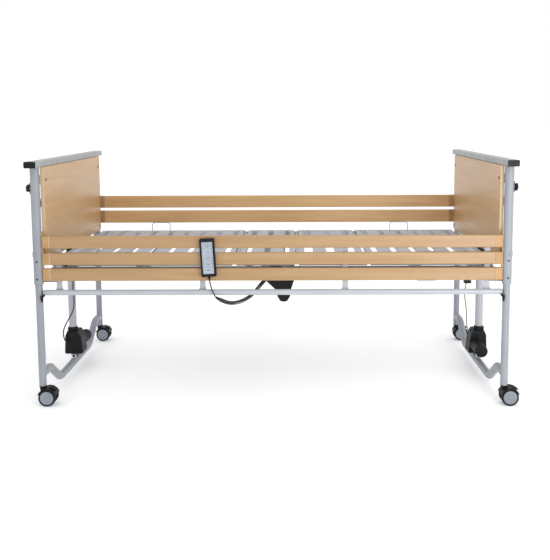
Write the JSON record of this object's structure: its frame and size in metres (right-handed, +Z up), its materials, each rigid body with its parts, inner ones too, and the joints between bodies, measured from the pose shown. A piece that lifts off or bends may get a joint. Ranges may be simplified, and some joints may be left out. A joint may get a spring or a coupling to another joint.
{
  "type": "adjustable hospital bed",
  "caption": "Height-adjustable hospital bed with beech boards and side rails, a hinged lying surface, column lift drives, castors and a handset on a curly cord.",
  "frame": {"origin": "on the floor, under the middle of the bed", "axes": "+X from the head end to the foot end, +Y towards the left side of a person lying on the bed, +Z up"},
  "size_m": [2.165, 1.058, 1.094],
  "materials": {
    "frame_paint": "satin powder coat, light grey",
    "tube_paint": "satin powder coat, light grey",
    "chassis_paint": "satin powder coat, grey",
    "deck_paint": "satin powder coat, light grey",
    "rail_aluminium": "anodised, satin",
    "beech": "beech laminate, satin",
    "beech_plastic": "moulded, beech colour",
    "black_plastic": "fine texture",
    "drive_plastic": "moulded, black",
    "castor_black": "moulded, black",
    "castor_wheel": "grey wheel centre in a black tread",
    "rod_steel": "ground and plated",
    "screw_steel": "zinc plated",
    "glide_plastic": "acetal, grey",
    "handset_face": "printed film, silver blue",
    "handset_key": "printed film, silver blue",
    "cord_black": "cable sheath, black",
    "cord_grey": "curly cable sheath, dark grey",
    "cable_grey": "cable sheath, grey"
  },
  "bodies": {
    "head_base": {"head_leg_frame": "frame_paint", "head_lift_drive": "drive_plastic", "head_lift_tube": "tube_paint", "head_lift_cable": "cord_black"},
    "foot_base": {"foot_leg_frame": "frame_paint", "foot_lift_drive": "drive_plastic", "foot_lift_tube": "tube_paint", "foot_lift_cable": "cable_grey"},
    "bed": {"head_end_frame": "frame_paint", "foot_end_frame": "frame_paint", "head_board": "beech", "foot_board": "beech", "top_rails": "rail_aluminium", "top_rail_caps": "black_plastic", "board_screws": "screw_steel", "leg_glides": "glide_plastic", "lift_rods": "rod_steel", "chassis_frame": "chassis_paint", "seat_section": "deck_paint", "hinge_pins": "screw_steel", "twin_drive": "drive_plastic", "foot_cable_clip": "black_plastic"},
    "backrest": {"backrest_section": "deck_paint", "clamp_knobs": "black_plastic"},
    "thigh": {"thigh_section": "deck_paint"},
    "calf": {"calf_section": "deck_paint"},
    "back_push": {"back_push_rod": "rod_steel"},
    "leg_push": {"leg_push_rod": "rod_steel"},
    "right_rail": {"right_rail_planks": "beech", "right_rail_glides": "beech_plastic", "right_rail_frame": "tube_paint", "right_rail_fittings": "black_plastic"},
    "left_rail": {"left_rail_planks": "beech", "left_rail_glides": "beech_plastic"},
    "handset": {"handset_shell": "black_plastic", "handset_face": "handset_face", "handset_cord_upper": "cord_black", "handset_curl": "cord_grey", "handset_cord_lower": "cord_black"},
    "castor_head_right_swivel": {"castor_head_right_fork": "castor_black"},
    "castor_head_right_wheel": {"castor_head_right_wheels": "castor_wheel"},
    "castor_head_right_brake": {"castor_head_right_pedal": "castor_black"},
    "latch_head_right": {"latch_head_right": "black_plastic"},
    "castor_head_left_swivel": {"castor_head_left_fork": "castor_black"},
    "castor_head_left_wheel": {"castor_head_left_wheels": "castor_wheel"},
    "castor_head_left_brake": {"castor_head_left_pedal": "castor_black"},
    "latch_head_left": {"latch_head_left": "black_plastic"},
    "castor_foot_right_swivel": {"castor_foot_right_fork": "castor_black"},
    "castor_foot_right_wheel": {"castor_foot_right_wheels": "castor_wheel"},
    "castor_foot_right_brake": {"castor_foot_right_pedal": "castor_black"},
    "latch_foot_right": {"latch_foot_right": "black_plastic"},
    "castor_foot_left_swivel": {"castor_foot_left_fork": "castor_black"},
    "castor_foot_left_wheel": {"castor_foot_left_wheels": "castor_wheel"},
    "castor_foot_left_brake": {"castor_foot_left_pedal": "castor_black"},
    "latch_foot_left": {"latch_foot_left": "black_plastic"},
    "key_1": {"handset_key_1": "handset_key"},
    "key_2": {"handset_key_2": "handset_key"},
    "key_3": {"handset_key_3": "handset_key"},
    "key_4": {"handset_key_4": "handset_key"},
    "key_5": {"handset_key_5": "handset_key"}
  },
  "joints": [
    {"name": "head_lift", "type": "slide", "parent": "head_base", "child": "bed", "axis": [0, 0, 1], "range_m": [-0.23, 0.12], "deforming": ["head_lift_cable"]},
    {"name": "foot_lift", "type": "slide", "parent": "bed", "child": "foot_base", "axis": [0, 0, 1], "range_m": [-0.12, 0.23], "deforming": ["foot_lift_cable"]},
    {"name": "backrest_tilt", "type": "hinge", "parent": "bed", "child": "backrest", "pos_m": [-0.17, 0, 0.6345], "axis": [0, 1, 0], "range_deg": [0, 70]},
    {"name": "back_push", "type": "slide", "parent": "bed", "child": "back_push", "axis": [-1, 0, 0], "range_m": [0, 0.0858]},
    {"name": "thigh_tilt", "type": "hinge", "parent": "bed", "child": "thigh", "pos_m": [0.11, 0, 0.6345], "axis": [0, -1, 0], "range_deg": [0, 35]},
    {"name": "calf_tilt", "type": "hinge", "parent": "thigh", "child": "calf", "pos_m": [0.43, 0, 0.6345], "axis": [0, 1, 0], "range_deg": [0, 54.5]},
    {"name": "leg_push", "type": "slide", "parent": "bed", "child": "leg_push", "axis": [1, 0, 0], "range_m": [0, 0.0452]},
    {"name": "right_rail_lift", "type": "slide", "parent": "bed", "child": "right_rail", "axis": [0, 0, 1], "range_m": [0, 0.235], "deforming": ["handset_cord_upper", "handset_curl", "handset_cord_lower"]},
    {"name": "left_rail_lift", "type": "slide", "parent": "bed", "child": "left_rail", "axis": [0, 0, 1], "range_m": [-0.075, 0.16]},
    {"name": "handset_lift", "type": "slide", "parent": "right_rail", "child": "handset", "axis": [-0.0536, 0, 0.9986], "range_m": [0, 0.03], "deforming": ["handset_cord_upper", "handset_curl", "handset_cord_lower"]},
    {"name": "castor_head_right_swivel", "type": "hinge", "parent": "head_base", "child": "castor_head_right_swivel", "pos_m": [-1.03, -0.47, 0.1], "axis": [0, 0, 1], "continuous": true},
    {"name": "castor_head_right_roll", "type": "hinge", "parent": "castor_head_right_swivel", "child": "castor_head_right_wheel", "pos_m": [-1.007, -0.47, 0.038], "axis": [0, 1, 0], "continuous": true},
    {"name": "castor_head_right_brake", "type": "hinge", "parent": "castor_head_right_swivel", "child": "castor_head_right_brake", "pos_m": [-0.996, -0.47, 0.082], "axis": [0, -1, 0], "range_deg": [0, 25]},
    {"name": "latch_head_right", "type": "slide", "parent": "bed", "child": "latch_head_right", "axis": [-1, 0, 0], "range_m": [0, 0.008], "stiffness_N_per_m": 800},
    {"name": "castor_head_left_swivel", "type": "hinge", "parent": "head_base", "child": "castor_head_left_swivel", "pos_m": [-1.03, 0.47, 0.1], "axis": [0, 0, 1], "continuous": true},
    {"name": "castor_head_left_roll", "type": "hinge", "parent": "castor_head_left_swivel", "child": "castor_head_left_wheel", "pos_m": [-1.007, 0.47, 0.038], "axis": [0, 1, 0], "continuous": true},
    {"name": "castor_head_left_brake", "type": "hinge", "parent": "castor_head_left_swivel", "child": "castor_head_left_brake", "pos_m": [-0.996, 0.47, 0.082], "axis": [0, -1, 0], "range_deg": [0, 25]},
    {"name": "latch_head_left", "type": "slide", "parent": "bed", "child": "latch_head_left", "axis": [-1, 0, 0], "range_m": [0, 0.008], "stiffness_N_per_m": 800},
    {"name": "castor_foot_right_swivel", "type": "hinge", "parent": "foot_base", "child": "castor_foot_right_swivel", "pos_m": [1.03, -0.47, 0.1], "axis": [0, 0, 1], "continuous": true},
    {"name": "castor_foot_right_roll", "type": "hinge", "parent": "castor_foot_right_swivel", "child": "castor_foot_right_wheel", "pos_m": [1.053, -0.47, 0.038], "axis": [0, 1, 0], "continuous": true},
    {"name": "castor_foot_right_brake", "type": "hinge", "parent": "castor_foot_right_swivel", "child": "castor_foot_right_brake", "pos_m": [1.064, -0.47, 0.082], "axis": [0, -1, 0], "range_deg": [0, 25]},
    {"name": "latch_foot_right", "type": "slide", "parent": "bed", "child": "latch_foot_right", "axis": [1, 0, 0], "range_m": [0, 0.008], "stiffness_N_per_m": 800},
    {"name": "castor_foot_left_swivel", "type": "hinge", "parent": "foot_base", "child": "castor_foot_left_swivel", "pos_m": [1.03, 0.47, 0.1], "axis": [0, 0, 1], "continuous": true},
    {"name": "castor_foot_left_roll", "type": "hinge", "parent": "castor_foot_left_swivel", "child": "castor_foot_left_wheel", "pos_m": [1.053, 0.47, 0.038], "axis": [0, 1, 0], "continuous": true},
    {"name": "castor_foot_left_brake", "type": "hinge", "parent": "castor_foot_left_swivel", "child": "castor_foot_left_brake", "pos_m": [1.064, 0.47, 0.082], "axis": [0, -1, 0], "range_deg": [0, 25]},
    {"name": "latch_foot_left", "type": "slide", "parent": "bed", "child": "latch_foot_left", "axis": [1, 0, 0], "range_m": [0, 0.008], "stiffness_N_per_m": 800},
    {"name": "handset_key_1", "type": "hinge", "parent": "handset", "child": "key_1", "pos_m": [-0.28178, -0.4968, 0.72293], "axis": [-0.0536, 0, 0.9986], "range_deg": [-3, 3], "stiffness_Nm_per_rad": 0.3},
    {"name": "handset_key_2", "type": "hinge", "parent": "handset", "child": "key_2", "pos_m": [-0.28039, -0.4968, 0.69696], "axis": [-0.0536, 0, 0.9986], "range_deg": [-3, 3], "stiffness_Nm_per_rad": 0.3},
    {"name": "handset_key_3", "type": "hinge", "parent": "handset", "child": "key_3", "pos_m": [-0.279, -0.4968, 0.671], "axis": [-0.0536, 0, 0.9986], "range_deg": [-3, 3], "stiffness_Nm_per_rad": 0.3},
    {"name": "handset_key_4", "type": "hinge", "parent": "handset", "child": "key_4", "pos_m": [-0.27761, -0.4968, 0.64504], "axis": [-0.0536, 0, 0.9986], "range_deg": [-3, 3], "stiffness_Nm_per_rad": 0.3},
    {"name": "handset_key_5", "type": "hinge", "parent": "handset", "child": "key_5", "pos_m": [-0.27622, -0.4968, 0.61907], "axis": [-0.0536, 0, 0.9986], "range_deg": [-3, 3], "stiffness_Nm_per_rad": 0.3}
  ],
  "couplings": [
    {"joint": "foot_lift", "follows": "head_lift", "ratio": -1},
    {"joint": "back_push", "follows": "backrest_tilt", "m_per_rad": 0.0702},
    {"joint": "calf_tilt", "follows": "thigh_tilt", "ratio": 1.557},
    {"joint": "leg_push", "follows": "thigh_tilt", "m_per_rad": 0.0738}
  ]
}
